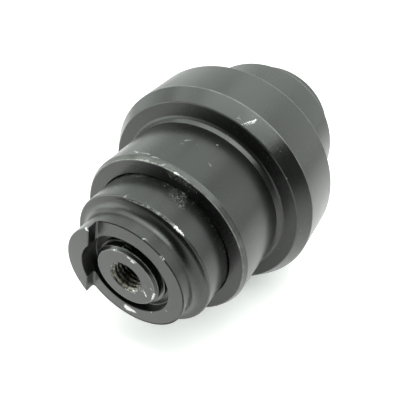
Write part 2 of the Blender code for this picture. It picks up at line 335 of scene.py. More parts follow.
def make_shell():
    """The shell: from the flange's rim out to its end edges, and back in by the seal pockets."""
    pocket_floor = SEAL_PLANE - POCKET_DEPTH
    half = [
        (FLANGE_R, FLANGE_RIM_HALF, 1.0),
        (FLANGE_SHOULDER_R, FLANGE_SHOULDER_HALF, 1.2),
        (TREAD_R + ROOT_RISE, FLANGE_FOOT_HALF, ROOT_ROUND),
        (TREAD_R, FLANGE_FOOT_HALF + ROOT_LENGTH, 0.5),
        (TREAD_R, SHELL_HALF - SHELL_EDGE_LENGTH, 1.0),
        (SHELL_EDGE_R, SHELL_HALF, 0.5),
        (MOUTH_R, SHELL_HALF, 0.25),
        (MOUTH_R, MOUTH_FLOOR, 0.5),
        (POCKET_MOUTH_R, MOUTH_FLOOR, 0.4),
        (POCKET_FLOOR_R, pocket_floor, 0.8),
        (BUSH_WALL_R + GAP, pocket_floor, 0.5),
        (BUSH_WALL_R + GAP, RESERVOIR_HALF, 0.3),
        (RESERVOIR_R, RESERVOIR_HALF, 0.8),
    ]
    return turned("visual_roller_shell", both_ends(half), ROUND_STEPS)


def hole_wall(angle, r, y):
    """The radius of a point (r, y) of the shaft: r, unless it is on the wall of a tapped hole,
    which has a right-hand M20 x 2.5 thread below a 45 degree countersink.
    """
    depth = SHAFT_HALF - abs(y)
    on_wall = THREAD_MINOR_R - SKIN < r < COUNTERSINK_R + SKIN and depth > SKIN
    if not on_wall or depth > THREAD_LENGTH + SKIN:
        return r
    turn = (y / THREAD_PITCH + angle / math.tau) % 1.0
    from_root = 0.5 - abs(turn - 0.5)
    height = 1.0 - min(max((from_root - THREAD_ROOT) / THREAD_FLANK, 0.0), 1.0)
    runout = min(max((THREAD_LENGTH - depth) / (THREAD_RUNOUT * THREAD_PITCH), 0.0), 1.0)
    return max(THREAD_MINOR_R + THREAD_HEIGHT * height * runout, COUNTERSINK_R - depth)


def make_shaft():
    """The shaft: journals, circlip grooves, tapped ends, and a drilled oil gallery, which a cross
    hole joins to the reservoir.
    """
    hole_floor = SHAFT_HALF - BOLT_HOLE_DEPTH
    rows = round(THREAD_LENGTH / THREAD_PITCH * THREAD_ROWS)
    hole = [
        (THREAD_MINOR_R, SHAFT_HALF - THREAD_LENGTH * i / rows, 0.0)
        for i in range(1, rows + 1)
    ]
    half = [
        (RELIEF_R, RESERVOIR_HALF, 0.5),
        (SHAFT_R, RESERVOIR_HALF + SHAFT_R - RELIEF_R, 0.5),
        (SHAFT_R, GROOVE_START, 0.1),
        (GROOVE_R, GROOVE_START, 0.15),
        (GROOVE_R, GROOVE_START + GROOVE_WIDTH, 0.15),
        (SHAFT_R, GROOVE_START + GROOVE_WIDTH, 0.1),
        (SHAFT_R, SHAFT_HALF - SHAFT_CHAMFER, 0.3),
        (SHAFT_R - SHAFT_CHAMFER, SHAFT_HALF, 0.3),
        (COUNTERSINK_R, SHAFT_HALF, 0.0),
        *hole,
        (THREAD_MINOR_R, hole_floor, 0.0),
        (PLUG_SEAT_R, hole_floor, 0.3),
        (PLUG_SEAT_R, hole_floor - PLUG_SEAT_DEPTH, 0.0),
        (GALLERY_R, hole_floor - PLUG_SEAT_DEPTH, 0.0),
    ]
    shaft = turned("visual_shaft", both_ends(half), INNER_STEPS, wall=hole_wall)
    reach = SHAFT_R + PAST
    drill = prism("cross_hole_drill", polygon(CROSS_HOLE_R, DRILL_STEPS), 2.0 * reach)
    drill.data.transform(Matrix.Translation((0.0, 0.0, -reach * MM)))
    combine(shaft, drill, "DIFFERENCE")
    return shaft


def make_collar():
    """A collar: the turned body up to its seat, with the lug joined on."""
    bore = SHAFT_R + GAP
    hub_end = SEAL_PLANE - POCKET_DEPTH + GAP + BUSH_FLANGE_THICK + END_PLAY
    pocket_floor = SEAL_PLANE + POCKET_DEPTH
    ring_half = COLLAR_RING_R + COLLAR_RING_SLACK
    ring_floor = bore + 2.0 * COLLAR_RING_R + GAP
    collar = turned("visual_near_collar", near_side([
        (bore, hub_end, 0.3),
        (HUB_R, hub_end, 0.5),
        (HUB_R, pocket_floor, 0.8),
        (POCKET_FLOOR_R, pocket_floor, 0.8),
        (POCKET_MOUTH_R, SKIRT_END, 0.4),
        (COLLAR_R, SKIRT_END, 1.0),
        (COLLAR_R, SHOULDER, 1.1),
        (BOSS_R, SHOULDER, COVE_R),
        (BOSS_R, SEAT, 0.2),
        (BOSS_R - SCORE_IN, SEAT, 0.1),
        (BOSS_R - SCORE_IN, SEAT - SCORE, 0.0),
        (BOSS_R - SCORE_IN - SCORE, SEAT - SCORE, 0.0),
        (BOSS_R - SCORE_IN - SCORE, SEAT, 0.1),
        (RECESS_R, SEAT, 0.5),
        (RECESS_R, RECESS_FLOOR, 0.8),
        (bore, RECESS_FLOOR, 0.3),
        (bore, COLLAR_RING_PLACE + ring_half, 0.2),
        (ring_floor, COLLAR_RING_PLACE + ring_half, 0.3),
        (ring_floor, COLLAR_RING_PLACE - ring_half, 0.3),
        (bore, COLLAR_RING_PLACE - ring_half, 0.2),
    ]), ROUND_STEPS)
    combine(collar, make_lug(), "UNION")
    return collar


def make_lug():
    """The lug: a piece of ring, flush with the boss, between its flat and the outside."""
    base = SEAT - LUG_SUNK
    lug = turned("lug", near_side([
        (RECESS_R + SKIN, base, 0.0),
        (RECESS_R + SKIN, LUG_TOP, 0.4),
        (BOSS_R - SKIN, LUG_TOP, 0.5),
        (BOSS_R - SKIN, base, 0.0),
    ]), ROUND_STEPS)
    room = 5.0              # how far the cutter clears the boss and the lug's top
    reach = BOSS_R + room
    over = LUG_TOP + room
    under = base - PAST
    floor = SEAT - 2.0 * SKIN
    crown = arc(LUG_FLAT + LUG_EDGE, LUG_TOP - LUG_EDGE, LUG_EDGE, 90, 180, steps=5)
    toe = arc(LUG_FLAT - LUG_FILLET, floor + LUG_FILLET, LUG_FILLET, 0, -90, steps=8)
    outline = [
        (LUG_FLAT + LUG_EDGE, -over),
        *[(u, -y) for u, y in crown + toe],
        (LUG_FLAT - LUG_FILLET, -under),
        (-reach, -under),
        (-reach, -over),
    ]
    cutter = prism("lug_cutter", outline, 2.0 * reach)
    cutter.data.transform(Matrix.Translation((0.0, 0.0, -reach * MM)))
    cutter.data.transform(Matrix.Rotation(-LUG_ANGLE, 4, "Y"))
    combine(lug, cutter, "DIFFERENCE")
    return lug


def clip_radius(angle):
    """A circlip's outer radius at an angle from its gap: lug, thin arm, then broad back."""
    if angle < CLIP_LUG_END:
        return CLIP_LUG_R
    return CLIP_THIN_R + (CLIP_BROAD_R - CLIP_THIN_R) * (1.0 - math.cos(angle)) / 2.0


def make_circlip():
    """An external circlip: an open ring that broadens away from its gap, with drilled lugs."""
    span = math.tau - 2.0 * CLIP_GAP_HALF
    bore = GROOVE_R + GAP
    inner = []
    outer = []
    for i in range(CLIP_STEPS + 1):
        turn = CLIP_GAP_HALF + span * i / CLIP_STEPS
        angle = CLIP_GAP_ANGLE + turn
        radius = clip_radius(min(turn, math.tau - turn))
        inner.append((bore * math.cos(angle), bore * math.sin(angle)))
        outer.append((radius * math.cos(angle), radius * math.sin(angle)))
    clip = prism("visual_near_circlip", outer + inner[::-1], CLIP_THICK)
    soften(clip, CLIP_EDGE)
    back = -RECESS_FLOOR - GAP
    face_near(clip)
    clip.data.transform(Matrix.Translation((0.0, back * MM, 0.0)))
    for side in (-1, 1):
        angle = CLIP_GAP_ANGLE + side * (CLIP_GAP_HALF + CLIP_LUG_END) / 2.0
        place = Vector((math.cos(angle), 0.0, math.sin(angle))) * CLIP_HOLE_PLACE
        place.y = back - CLIP_THICK / 2.0
        bm = bmesh.new()
        bmesh.ops.create_cone(
            bm, cap_ends=True, segments=CLIP_HOLE_STEPS, radius1=CLIP_HOLE_R,
            radius2=CLIP_HOLE_R, depth=2.0 * CLIP_THICK,
            matrix=Matrix.Translation(place) @ Matrix.Rotation(math.pi / 2.0, 4, "X"))
        combine(clip, new_piece("clip_drill", bm), "DIFFERENCE")
    return clip


def make_bush():
    """A flanged bush: its wall runs on the shaft and its flange on the collar's hub."""
    flange_foot = SEAL_PLANE - POCKET_DEPTH + GAP
    bore = SHAFT_R + GAP
    return turned("visual_near_bush", near_side([
        (bore, BUSH_START, 0.3),
        (BUSH_WALL_R, BUSH_START, 0.6),
        (BUSH_WALL_R, flange_foot, 0.2),
        (BUSH_FLANGE_R, flange_foot, 0.3),
        (BUSH_FLANGE_R, flange_foot + BUSH_FLANGE_THICK, 0.4),
        (bore, flange_foot + BUSH_FLANGE_THICK, 0.6),
    ]), INNER_STEPS)


def make_seal_ring(name, facing):
    """One metal seal ring.  facing is +1 for the turning ring and -1 for the fixed one."""
    face = GAP / 2.0
    flange_back = face + SEAL_FLANGE_THICK
    nose = face + SEAL_LENGTH
    depths = [
        (SEAL_BORE_R, nose, 0.4),
        (SEAL_NOSE_R, nose, 0.4),
        (SEAL_NECK_R, flange_back, 1.0),
        (SEAL_FLANGE_R, flange_back, 0.5),
        (SEAL_FLANGE_R, face, 0.6),
        (SEAL_BORE_R, face, 0.2),
    ]
    corners = [(r, SEAL_PLANE - facing * depth, edge) for r, depth, edge in depths]
    return turned(name, near_side(corners), INNER_STEPS)


def make_rubber_ring(name, centre_r, place, radius):
    """A rubber ring of round section, with its centre at a place along the axis."""
    section = arc(centre_r, place, radius, 0, 360, RUBBER_STEPS)[:-1]
    return turned(name, near_side([(r, y, 0.0) for r, y in section]), INNER_STEPS)


def make_plug():
    """A round oil plug with a hexagon socket in the face that a key reaches."""
    face = SHAFT_HALF - BOLT_HOLE_DEPTH - PLUG_BEHIND
    plug = turned("visual_near_oil_plug", near_side([
        (0.0, face - PLUG_LENGTH, 0.0),
        (PLUG_R, face - PLUG_LENGTH, 0.6),
        (PLUG_R, face, 0.6),
        (0.0, face, 0.0),
    ]), PLUG_STEPS)
    hexagon = polygon(SOCKET_FLATS / math.sqrt(3.0), 6)
    broach = prism("socket_broach", hexagon, SOCKET_DEPTH + PAST)
    face_near(broach)
    broach.data.transform(Matrix.Translation((0.0, (SOCKET_DEPTH - face) * MM, 0.0)))
    combine(plug, broach, "DIFFERENCE")
    return plug


# Materials

PAINT_DEEP = (0.0018, 0.0021, 0.0019)
PAINT_PALE = (0.0048, 0.0054, 0.0046)
# the next colour is the pale of scuff marks and worn edges, and also of painted highlight on some
# edges and on the shaft's side
SCUFF_AND_HIGHLIGHT = (0.26, 0.265, 0.25)
BARE = (0.74, 0.74, 0.72)
OILY_DEEP = (0.035, 0.033, 0.027)
OILY_PALE = (0.25, 0.235, 0.195)
GROUND_DEEP = (0.46, 0.46, 0.45)
GROUND_PALE = (0.58, 0.58, 0.56)
GRIME_METALLIC = 0.35
RUBBER_DEEP = (0.010, 0.010, 0.010)
RUBBER_PALE = (0.022, 0.022, 0.021)
RUBBER_BLOOM = (0.05, 0.05, 0.048)
METALS = {                  # deep and pale colour, roughness, height of the turning marks
    "clip_finish": ((0.10, 0.10, 0.10), (0.16, 0.16, 0.155), 0.34, 0.0),
    "bronze_finish": ((0.45, 0.27, 0.12), (0.58, 0.38, 0.18), 0.34, 0.006),
    "iron_finish": ((0.27, 0.27, 0.28), (0.36, 0.36, 0.37), 0.30, 0.003),
}
PIT_SHADE = 0.4             # a pit's colour as a share of the deep one
COAT_WEIGHT = 0.15          # the paint's thin clear coat
COAT_ROUGHNESS = 0.2

EVEN_EDGE_SHARE = 0.4             # share of an edge's pale band (wear, and on some edges painted highlight) that is there all round; the rest is patchy
SPECK_WEAR = 0.6            # how far specks and rubs lighten the paint
RUB_WEAR = 0.55
SPECKS_FROM = 77.0          # the collar's specks thicken between these distances from the
SPECKS_TO = 69.0            # middle, towards the gap
PAINT_END_WAVER = 1.5       # how far the paint's end wanders along the shaft
PAINT_END_FADE = 1.0        # and the length over which it thins out
HOLE_FADE = 0.4             # width over which the paint thins out at a tapped hole's mouth
RING_SLANT = 0.87           # how close turning marks lie along the axis, against across it
FRAY = 2.4                  # how far a mark's outline is pushed about, and how finely
FRAY_PER_MM = 1.4
STROKE_TAPER = 0.6          # share of a mark's width that is lost towards its finish
STROKE_FADE = 0.4           # and share over which its outline fades


class Look:
    """One material's nodes.  Places in it are in mm, along the frame's own axes."""

    def __init__(self, name):
        self.material = bpy.data.materials.new(name)
        self.material.use_nodes = True
        self.tree = self.material.node_tree
        self.shader = self.tree.nodes["Principled BSDF"]
        here = self.tree.nodes.new("ShaderNodeTexCoord").outputs["Object"]
        scaled = self.tree.nodes.new("ShaderNodeVectorMath")
        scaled.operation = "SCALE"
        scaled.inputs["Scale"].default_value = 1.0 / MM
        self.tree.links.new(here, scaled.inputs[0])
        self.place = scaled.outputs[0]
        split = self.tree.nodes.new("ShaderNodeSeparateXYZ")
        self.tree.links.new(self.place, split.inputs[0])
        x, y, z = split.outputs
        across = self.math("ADD", self.math("MULTIPLY", x, x), self.math("MULTIPLY", z, z))
        self.radius = self.math("SQRT", across)
        self.end = self.math("ABSOLUTE", y)

    def put(self, socket, value):
        """Give a socket a plain value, or link it to another socket."""
        if isinstance(value, bpy.types.NodeSocket):
            self.tree.links.new(value, socket)
        else:
            socket.default_value = value

    def math(self, operation, first, second=0.0, third=0.0):
        """What one Math node makes of its values."""
        node = self.tree.nodes.new("ShaderNodeMath")
        node.operation = operation
        for socket, value in zip(node.inputs, (first, second, third)):
            self.put(socket, value)
        return node.outputs[0]

    def vector(self, operation, first, second):
        """What one Vector Math node makes of its values, a vector or a number."""
        node = self.tree.nodes.new("ShaderNodeVectorMath")
        node.operation = operation
        self.put(node.inputs[0], first)
        self.put(node.inputs["Scale" if operation == "SCALE" else 1], second)
        return node.outputs["Value" if operation in ("DOT_PRODUCT", "DISTANCE") else 0]

    def total(self, *values):
        """The sum of each value times its weight, from (value, weight) pairs.

        A plain term is the weight of 1.0.
        """
        result = 0.0
        for value, weight in values:
            result = self.math("MULTIPLY_ADD", value, weight, result)
        return result

    def largest(self, *values):
        """The largest of the values."""
        result = values[0]
        for value in values[1:]:
            result = self.math("MAXIMUM", result, value)
        return result

    def noise(self, per_mm, detail, shift=0.0):
        """Soft noise, with per_mm features to a millimetre; shift moves it somewhere else."""
        mapping = self.tree.nodes.new("ShaderNodeMapping")
        self.put(mapping.inputs["Vector"], self.place)
        mapping.inputs["Location"].default_value = (shift, shift * 0.7, -shift)
        node = self.tree.nodes.new("ShaderNodeTexNoise")
        self.put(node.inputs["Vector"], mapping.outputs[0])
        node.inputs["Scale"].default_value = per_mm
        node.inputs["Detail"].default_value = detail
        return node.outputs["Fac"]

    def rings(self, per_mm):
        """Turning marks: noise along the profile, the same all the way round."""
        along = self.math("ADD", self.radius, self.math("MULTIPLY", self.end, RING_SLANT))
        node = self.tree.nodes.new("ShaderNodeTexNoise")
        node.noise_dimensions = "1D"
        self.put(node.inputs["W"], along)
        node.inputs["Scale"].default_value = per_mm
        node.inputs["Detail"].default_value = 3.0
        return node.outputs["Fac"]

    def step(self, value, low, high):
        """0 below low and 1 above high, smooth between; the other way round if high is less."""
        node = self.tree.nodes.new("ShaderNodeMapRange")
        node.interpolation_type = "SMOOTHSTEP"
        self.put(node.inputs["Value"], value)
        node.inputs["From Min"].default_value = low
        node.inputs["From Max"].default_value = high
        return node.outputs["Result"]

    def blend(self, share, first, second):
        """Between two colours."""
        node = self.tree.nodes.new("ShaderNodeMix")
        node.data_type = "RGBA"
        self.put(node.inputs["Factor"], share)
        for key, value in (("A", first), ("B", second)):
            socket = next(s for s in node.inputs if s.name == key and s.type == "RGBA")
            self.put(socket, value if isinstance(value, bpy.types.NodeSocket) else (*value, 1.0))
        return next(s for s in node.outputs if s.type == "RGBA")

    def edge(self, r, end, width):
        """1 on a turned edge at radius r and distance end from the middle, 0 a width away."""
        off_r = self.math("SUBTRACT", self.radius, r)
        off_end = self.math("SUBTRACT", self.end, end)
        away = self.math("SQRT", self.math("ADD", self.math("MULTIPLY", off_r, off_r),
                                           self.math("MULTIPLY", off_end, off_end)))
        return self.step(away, width, 0.0)

    def frayed_place(self):
        """The place, pushed about by a fine noise, which frays the marks made with it."""
        node = self.tree.nodes.new("ShaderNodeTexNoise")
        self.put(node.inputs["Vector"], self.place)
        node.inputs["Scale"].default_value = FRAY_PER_MM
        node.inputs["Detail"].default_value = 4.0
        centred = self.vector("SUBTRACT", node.outputs["Color"], Vector((0.5, 0.5, 0.5)))
        return self.vector("ADD", self.place, self.vector("SCALE", centred, FRAY))

    def strokes(self, marks):
        """1 on each mark, a frayed stroke that narrows from its start to its finish."""
        frayed = self.frayed_place()
        masks = []
        for start, finish, width in marks:
            first = on_round(*start)
            way = on_round(*finish) - first
            from_first = self.vector("SUBTRACT", frayed, first)
            along = self.vector("DOT_PRODUCT", from_first, way / way.length_squared)
            share = self.math("MINIMUM", self.math("MAXIMUM", along, 0.0), 1.0)
            away = self.vector("DISTANCE", from_first, self.vector("SCALE", way, share))
            reach = self.math("MULTIPLY_ADD", share, -STROKE_TAPER * width, width)
            inside = self.math("SUBTRACT", reach, away)
            masks.append(self.step(inside, 0.0, STROKE_FADE * width))
        return self.largest(*masks)

    def bump(self, height):
        """The shader's normal from a height in mm."""
        node = self.tree.nodes.new("ShaderNodeBump")
        node.inputs["Strength"].default_value = 1.0
        node.inputs["Distance"].default_value = MM
        self.put(node.inputs["Height"], height)
        self.put(self.shader.inputs["Normal"], node.outputs["Normal"])

    def coat(self):
        """The paint's thin clear coat."""
        self.shader.inputs["Coat Weight"].default_value = COAT_WEIGHT
        self.shader.inputs["Coat Roughness"].default_value = COAT_ROUGHNESS

    def glow(self, colour, strength):
        """Light that the surface gives off by itself."""
        self.shader.inputs["Emission Color"].default_value = (*colour, 1.0)
        self.shader.inputs["Emission Strength"].default_value = strength

    def surface(self, colour, roughness, metallic):
        """The finished material, with the shader's main values set."""
        self.put(self.shader.inputs["Base Color"], colour)
        self.put(self.shader.inputs["Roughness"], roughness)
        self.put(self.shader.inputs["Metallic"], metallic)
        return self.material


def painted(name, edges, scuffs_and_highlights, rubs, chips, speckled):
    """Satin black paint: worn pale along edges, with scuff marks and chips, speckled near the
    gap; the pale along some edges and some marks is painted highlight.

    The rubs are broad strokes, in which only fine specks of the paint are worn.
    """
    look = Look(name)
    cloud = look.noise(0.05, detail=3.0)
    grain = look.noise(2.2, detail=4.0)
    peel = look.noise(0.45, detail=2.0)
    rings = look.rings(2.6)
    patchy = look.step(look.noise(0.12, detail=4.0, shift=3.0), 0.35, 0.65)
    # pale bands along the edges: wear, and on the shell's end edge and the collar's shoulder also
    # painted highlight
    pale_marks = [
        look.math("MULTIPLY", look.edge(r, end, width),
                  look.math("MULTIPLY_ADD", patchy, (1.0 - EVEN_EDGE_SHARE) * share, EVEN_EDGE_SHARE * share))
        for r, end, width, share in edges
    ]
    near_gap = look.step(look.end, SPECKS_FROM, SPECKS_TO)
    crumbs = look.total((look.noise(0.9, detail=3.0, shift=7.0), 1.0), (near_gap, speckled))
    specks = look.math("MULTIPLY", look.step(crumbs, 0.71, 0.77), SPECK_WEAR)
    fine = look.step(look.noise(1.7, detail=3.0, shift=11.0), 0.53, 0.62)
    pale_marks.append(look.math("MULTIPLY", look.strokes(rubs),
                            look.math("MULTIPLY", fine, RUB_WEAR)))
    # every pale mark together; some of them are painted highlight
    scuffed_and_highlit = look.largest(*pale_marks, specks, look.strokes(scuffs_and_highlights))
    chipped = look.strokes(chips)
    paint = look.blend(cloud, PAINT_DEEP, PAINT_PALE)
    colour = look.blend(chipped, look.blend(scuffed_and_highlit, paint, SCUFF_AND_HIGHLIGHT), BARE)
    roughness = look.total((cloud, 0.12), (grain, 0.12), (rings, 0.02), (scuffed_and_highlit, 0.2),
                           (1.0, 0.165))
    look.bump(look.total((peel, 0.03), (grain, 0.016), (rings, 0.0015), (chipped, -0.04)))
    look.coat()
    return look.surface(colour, roughness, metallic=0.0)


# Edges are (radius, distance from the middle, width, share of pale, which is wear and on some
# edges also painted highlight).  Marks are (start, finish, width), with their ends as (angle in
# degrees, r, y).


def shell_paint():
    """Paint of the shell: most worn at its end edge, which is pale also as painted highlight, and
    with a scratch across the flange's taper.
    """
    chamfer_r = 0.5 * (TREAD_R + SHELL_EDGE_R)
    edges = [
        # the end edge and its chamfer: pale wear, and painted highlight for the edge's bright
        # band
        (SHELL_EDGE_R, SHELL_HALF, 0.8, 0.8),
        (chamfer_r, SHELL_HALF - 0.5 * SHELL_EDGE_LENGTH, 2.4, 0.25),
        (MOUTH_R, SHELL_HALF, 0.5, 0.2),
        (FLANGE_R, FLANGE_RIM_HALF, 0.6, 0.5),
        (FLANGE_SHOULDER_R, FLANGE_SHOULDER_HALF, 0.5, 0.2),
    ]
    end_edge = SHELL_HALF - 0.2
    scuffs_and_highlights = [
        # strokes along the end edge: scuff marks, and painted highlight on the edge
        ((99.8, 52.5, -end_edge), (105.5, 52.6, -end_edge), 0.7),
        ((96.0, 52.5, -end_edge), (99.8, 52.5, -end_edge), 1.0),
        ((93.0, 52.4, -end_edge), (88.0, 52.4, -end_edge), 0.6),
        ((87.6, 52.4, -end_edge), (84.6, 53.3, -66.6), 0.6),
        ((75.0, 52.4, -end_edge), (84.0, 52.3, -end_edge), 0.6),
        ((74.0, 52.4, -end_edge), (58.0, 52.4, -end_edge), 0.5),
        ((106.1, TREAD_R, -63.5), (111.4, TREAD_R, -61.9), 0.6),
        ((98.0, TREAD_R, -63.8), (106.1, TREAD_R, -63.5), 0.5),
        ((94.6, TREAD_R, -65.3), (89.8, TREAD_R, -65.1), 0.45),
        ((65.5, TREAD_R, -51.3), (68.4, TREAD_R, -50.1), 0.4),
        ((87.9, TREAD_R, -43.9), (84.4, TREAD_R, -40.9), 0.4),
        ((87.4, TREAD_R, -47.1), (87.0, TREAD_R, -46.4), 0.5),
        ((71.4, TREAD_R, -35.1), (70.9, TREAD_R, -35.3), 0.5),
        ((33.1, 65.4, -FLANGE_SHOULDER_HALF), (32.7, 65.6, -FLANGE_SHOULDER_HALF), 0.5),
        ((31.3, 59.0, -FLANGE_SHOULDER_HALF), (31.0, 59.2, -FLANGE_SHOULDER_HALF), 0.5),
        ((63.5, 68.8, -18.8), (66.0, 65.7, -23.3), 0.45),
        ((70.5, 66.4, -22.2), (69.0, 66.6, -21.9), 0.4),
    ]
    chips = [
        ((63.4, 69.3, -18.0), (67.2, 65.4, -23.8), 0.5),
        ((63.2, 68.6, -19.0), (65.2, 65.6, -23.4), 0.35),
        ((77.5, 52.4, -end_edge), (74.8, 52.4, -end_edge), 0.8),
    ]
    rubs = [
        ((80.0, 50.5, -SHELL_HALF), (62.0, 50.0, -SHELL_HALF), 3.0),
    ]
    return painted("shell_paint", edges, scuffs_and_highlights, rubs, chips, speckled=0.0)


def collar_paint():
    """Paint of the collars: worn along the shoulder's edge, which is pale also as painted
    highlight, and speckled near the shell.
    """
    edges = [
        # the shoulder's edge: pale wear, and painted highlight for its bright band
        (COLLAR_R, SHOULDER, 0.9, 0.35),
        (BOSS_R, LUG_TOP, 0.5, 0.3),
        (RECESS_R, LUG_TOP, 0.5, 0.25),
        (RECESS_R, SEAT, 0.4, 0.15),
    ]
    scuffs_and_highlights = [
        # the first four run along the shoulder's edge: scuff marks, and painted highlight
        ((78.0, 42.8, -88.3), (99.0, 42.6, -88.5), 0.6),
        ((70.0, 42.9, -88.2), (84.0, 42.7, -88.3), 0.7),
        ((57.0, 43.0, -88.1), (71.0, 42.9, -88.2), 0.75),
        ((97.9, 42.9, -88.2), (96.6, COLLAR_R, -85.9), 0.6),
        ((68.5, 35.4, -100.2), (65.9, BOSS_R, -99.2), 0.6),
        ((67.9, COLLAR_R, -68.4), (70.6, COLLAR_R, -68.2), 0.6),
    ]
    rubs = [
        ((69.5, COLLAR_R, -71.5), (62.5, COLLAR_R, -76.5), 6.0),
        ((110.0, COLLAR_R, -68.5), (75.0, COLLAR_R, -69.5), 3.0),
    ]
    chips = [
        ((56.5, 43.0, -88.1), (48.4, 43.1, -88.1), 1.1),
        ((49.0, 34.9, -100.4), (42.2, 35.0, -100.4), 0.7),
        ((119.6, 35.0, -LUG_TOP), (119.0, 33.2, -LUG_TOP), 1.2),
        ((-97.0, 29.6, -SEAT), (-86.0, 29.8, -SEAT), 2.6),
        ((-30.6, 27.7, -SEAT), (-30.9, 28.0, -SEAT), 0.4),
        ((-58.4, 25.9, -SEAT), (-57.6, 25.9, -SEAT), 0.4),
    ]
    return painted("collar_paint", edges, scuffs_and_highlights, rubs, chips, speckled=0.09)


def shaft_steel():
    """Ground journals, black paint over the ends, and dull oily steel in the tapped holes."""
    look = Look("shaft_finish")
    cloud = look.noise(0.08, detail=3.0)
    grain = look.noise(2.5, detail=4.0)
    rings = look.rings(3.5)
    waver = look.noise(0.3, detail=2.0, shift=5.0)
    wandering = look.math("MULTIPLY_ADD", waver, PAINT_END_WAVER, look.end)
    ends = look.step(wandering, GROOVE_START, GROOVE_START + PAINT_END_FADE)
    hole = look.step(look.radius, COUNTERSINK_R, COUNTERSINK_R - HOLE_FADE)
    patchy = look.noise(0.4, detail=4.0, shift=9.0)
    pale_marks = look.math("MULTIPLY", patchy, look.largest(
        look.edge(SHAFT_R - SHAFT_CHAMFER, SHAFT_HALF, 0.6),
        look.edge(SHAFT_R, SHAFT_HALF - SHAFT_CHAMFER, 0.5)))
    scuffs_and_highlights = [
        ((102.0, 18.5, -SHAFT_HALF), (114.4, 18.9, -102.1), 0.9),
        ((63.8, 17.8, -SHAFT_HALF), (80.0, 17.4, -SHAFT_HALF), 1.2),
        ((3.8, 16.3, -SHAFT_HALF), (-6.1, 17.7, -SHAFT_HALF), 0.5),
        ((-27.8, 11.2, -SHAFT_HALF), (-18.2, 12.3, -SHAFT_HALF), 0.5),
        ((4.3, 12.9, -SHAFT_HALF), (-0.5, 13.9, -SHAFT_HALF), 0.4),
        ((-60.0, 10.9, -SHAFT_HALF), (-97.0, 10.8, -SHAFT_HALF), 0.5),
        # these three draw a pale oval on the shaft's side near its end: a painted highlight
        ((94.5, SHAFT_R, -100.3), (92.0, SHAFT_R, -98.4), 0.35),
        ((91.0, SHAFT_R, -98.3), (80.5, SHAFT_R, -98.5), 0.35),
        ((84.0, SHAFT_R, -100.3), (94.0, SHAFT_R, -100.4), 0.35),
    ]
    chips = [
        ((106.5, 18.6, -SHAFT_HALF), (109.5, 18.8, -102.1), 0.7),
        ((69.1, 16.6, -SHAFT_HALF), (64.0, 16.2, -SHAFT_HALF), 0.9),
        ((77.7, 17.4, -SHAFT_HALF), (74.0, 17.3, -SHAFT_HALF), 0.7),
        ((-8.0, 18.4, -102.2), (-30.0, 18.4, -102.2), 0.9),
        ((-29.9, 14.8, -SHAFT_HALF), (-15.8, 11.4, -SHAFT_HALF), 0.6),
        ((-88.0, 10.2, -102.2), (-118.0, 9.9, -101.9), 0.45),
        ((-62.0, 9.8, -101.8), (-80.0, 9.8, -101.8), 0.4),
    ]
    # the pale rims and marks together, with the painted highlight of the oval
    scuffed_and_highlit = look.largest(pale_marks, look.strokes(scuffs_and_highlights))
    chipped = look.strokes(chips)
    ground = look.blend(cloud, GROUND_DEEP, GROUND_PALE)
    paint = look.blend(cloud, PAINT_DEEP, PAINT_PALE)
    grime = look.step(look.noise(0.6, detail=4.0), 0.40, 0.64)
    oily = look.blend(grime, OILY_DEEP, OILY_PALE)
    end_colour = look.blend(chipped, look.blend(scuffed_and_highlit, paint, SCUFF_AND_HIGHLIGHT), BARE)
    in_hole = look.blend(chipped, oily, BARE)
    colour = look.blend(hole, look.blend(ends, ground, end_colour), in_hole)
    metallic = look.largest(look.math("MULTIPLY", hole, GRIME_METALLIC),
                            look.math("SUBTRACT", 1.0, ends))
    roughness = look.total((ends, 0.02), (hole, 0.08), (cloud, 0.10), (grain, 0.08),
                           (scuffed_and_highlit, 0.15), (1.0, 0.13))
    look.bump(look.total((grain, 0.004), (rings, 0.004), (chipped, -0.03)))
    look.coat()
    return look.surface(colour, roughness, metallic)


def plain_metal(name):
    """One of METALS, turned or pressed, with clouded colour, marks and small pits."""
    deep, pale, roughness, ring_height = METALS[name]
    look = Look(name)
    cloud = look.noise(0.12, detail=3.0)
    grain = look.noise(2.8, detail=4.0)
    rings = look.rings(4.0)
    pits = look.step(look.noise(1.1, detail=2.0, shift=2.0), 0.70, 0.78)
    in_pits = tuple(PIT_SHADE * c for c in deep)
    colour = look.blend(pits, look.blend(cloud, deep, pale), in_pits)
    rough = look.total((cloud, 0.12), (grain, 0.10), (pits, 0.2), (1.0, roughness - 0.1))
    look.bump(look.total((grain, 0.004), (rings, ring_height), (pits, -0.02)))
    return look.surface(colour, rough, metallic=1.0)


def rubber():
    """Black nitrile rubber with a pale bloom."""
    look = Look("rubber_finish")
    cloud = look.noise(0.2, detail=3.0)
    grain = look.noise(3.5, detail=4.0)
    bloom = look.step(look.noise(0.35, detail=4.0, shift=4.0), 0.45, 0.75)
    colour = look.blend(bloom, look.blend(cloud, RUBBER_DEEP, RUBBER_PALE), RUBBER_BLOOM)
    roughness = look.total((cloud, 0.15), (grain, 0.12), (1.0, 0.42))
    look.bump(look.total((grain, 0.01), (cloud, 0.01)))
    return look.surface(colour, roughness, metallic=0.0)


# Stage

CAMERA_AZIMUTH = math.radians(30.5)
CAMERA_ELEVATION = math.radians(39.46)
CAMERA_AIM = (-5.9, -14.6, -11.6)
CAMERA_DISTANCE = 327.0
CAMERA_LENS = 44.09
CAMERA_SENSOR = 36.0
CAMERA_NEAR = 10.0          # nothing nearer than this is drawn

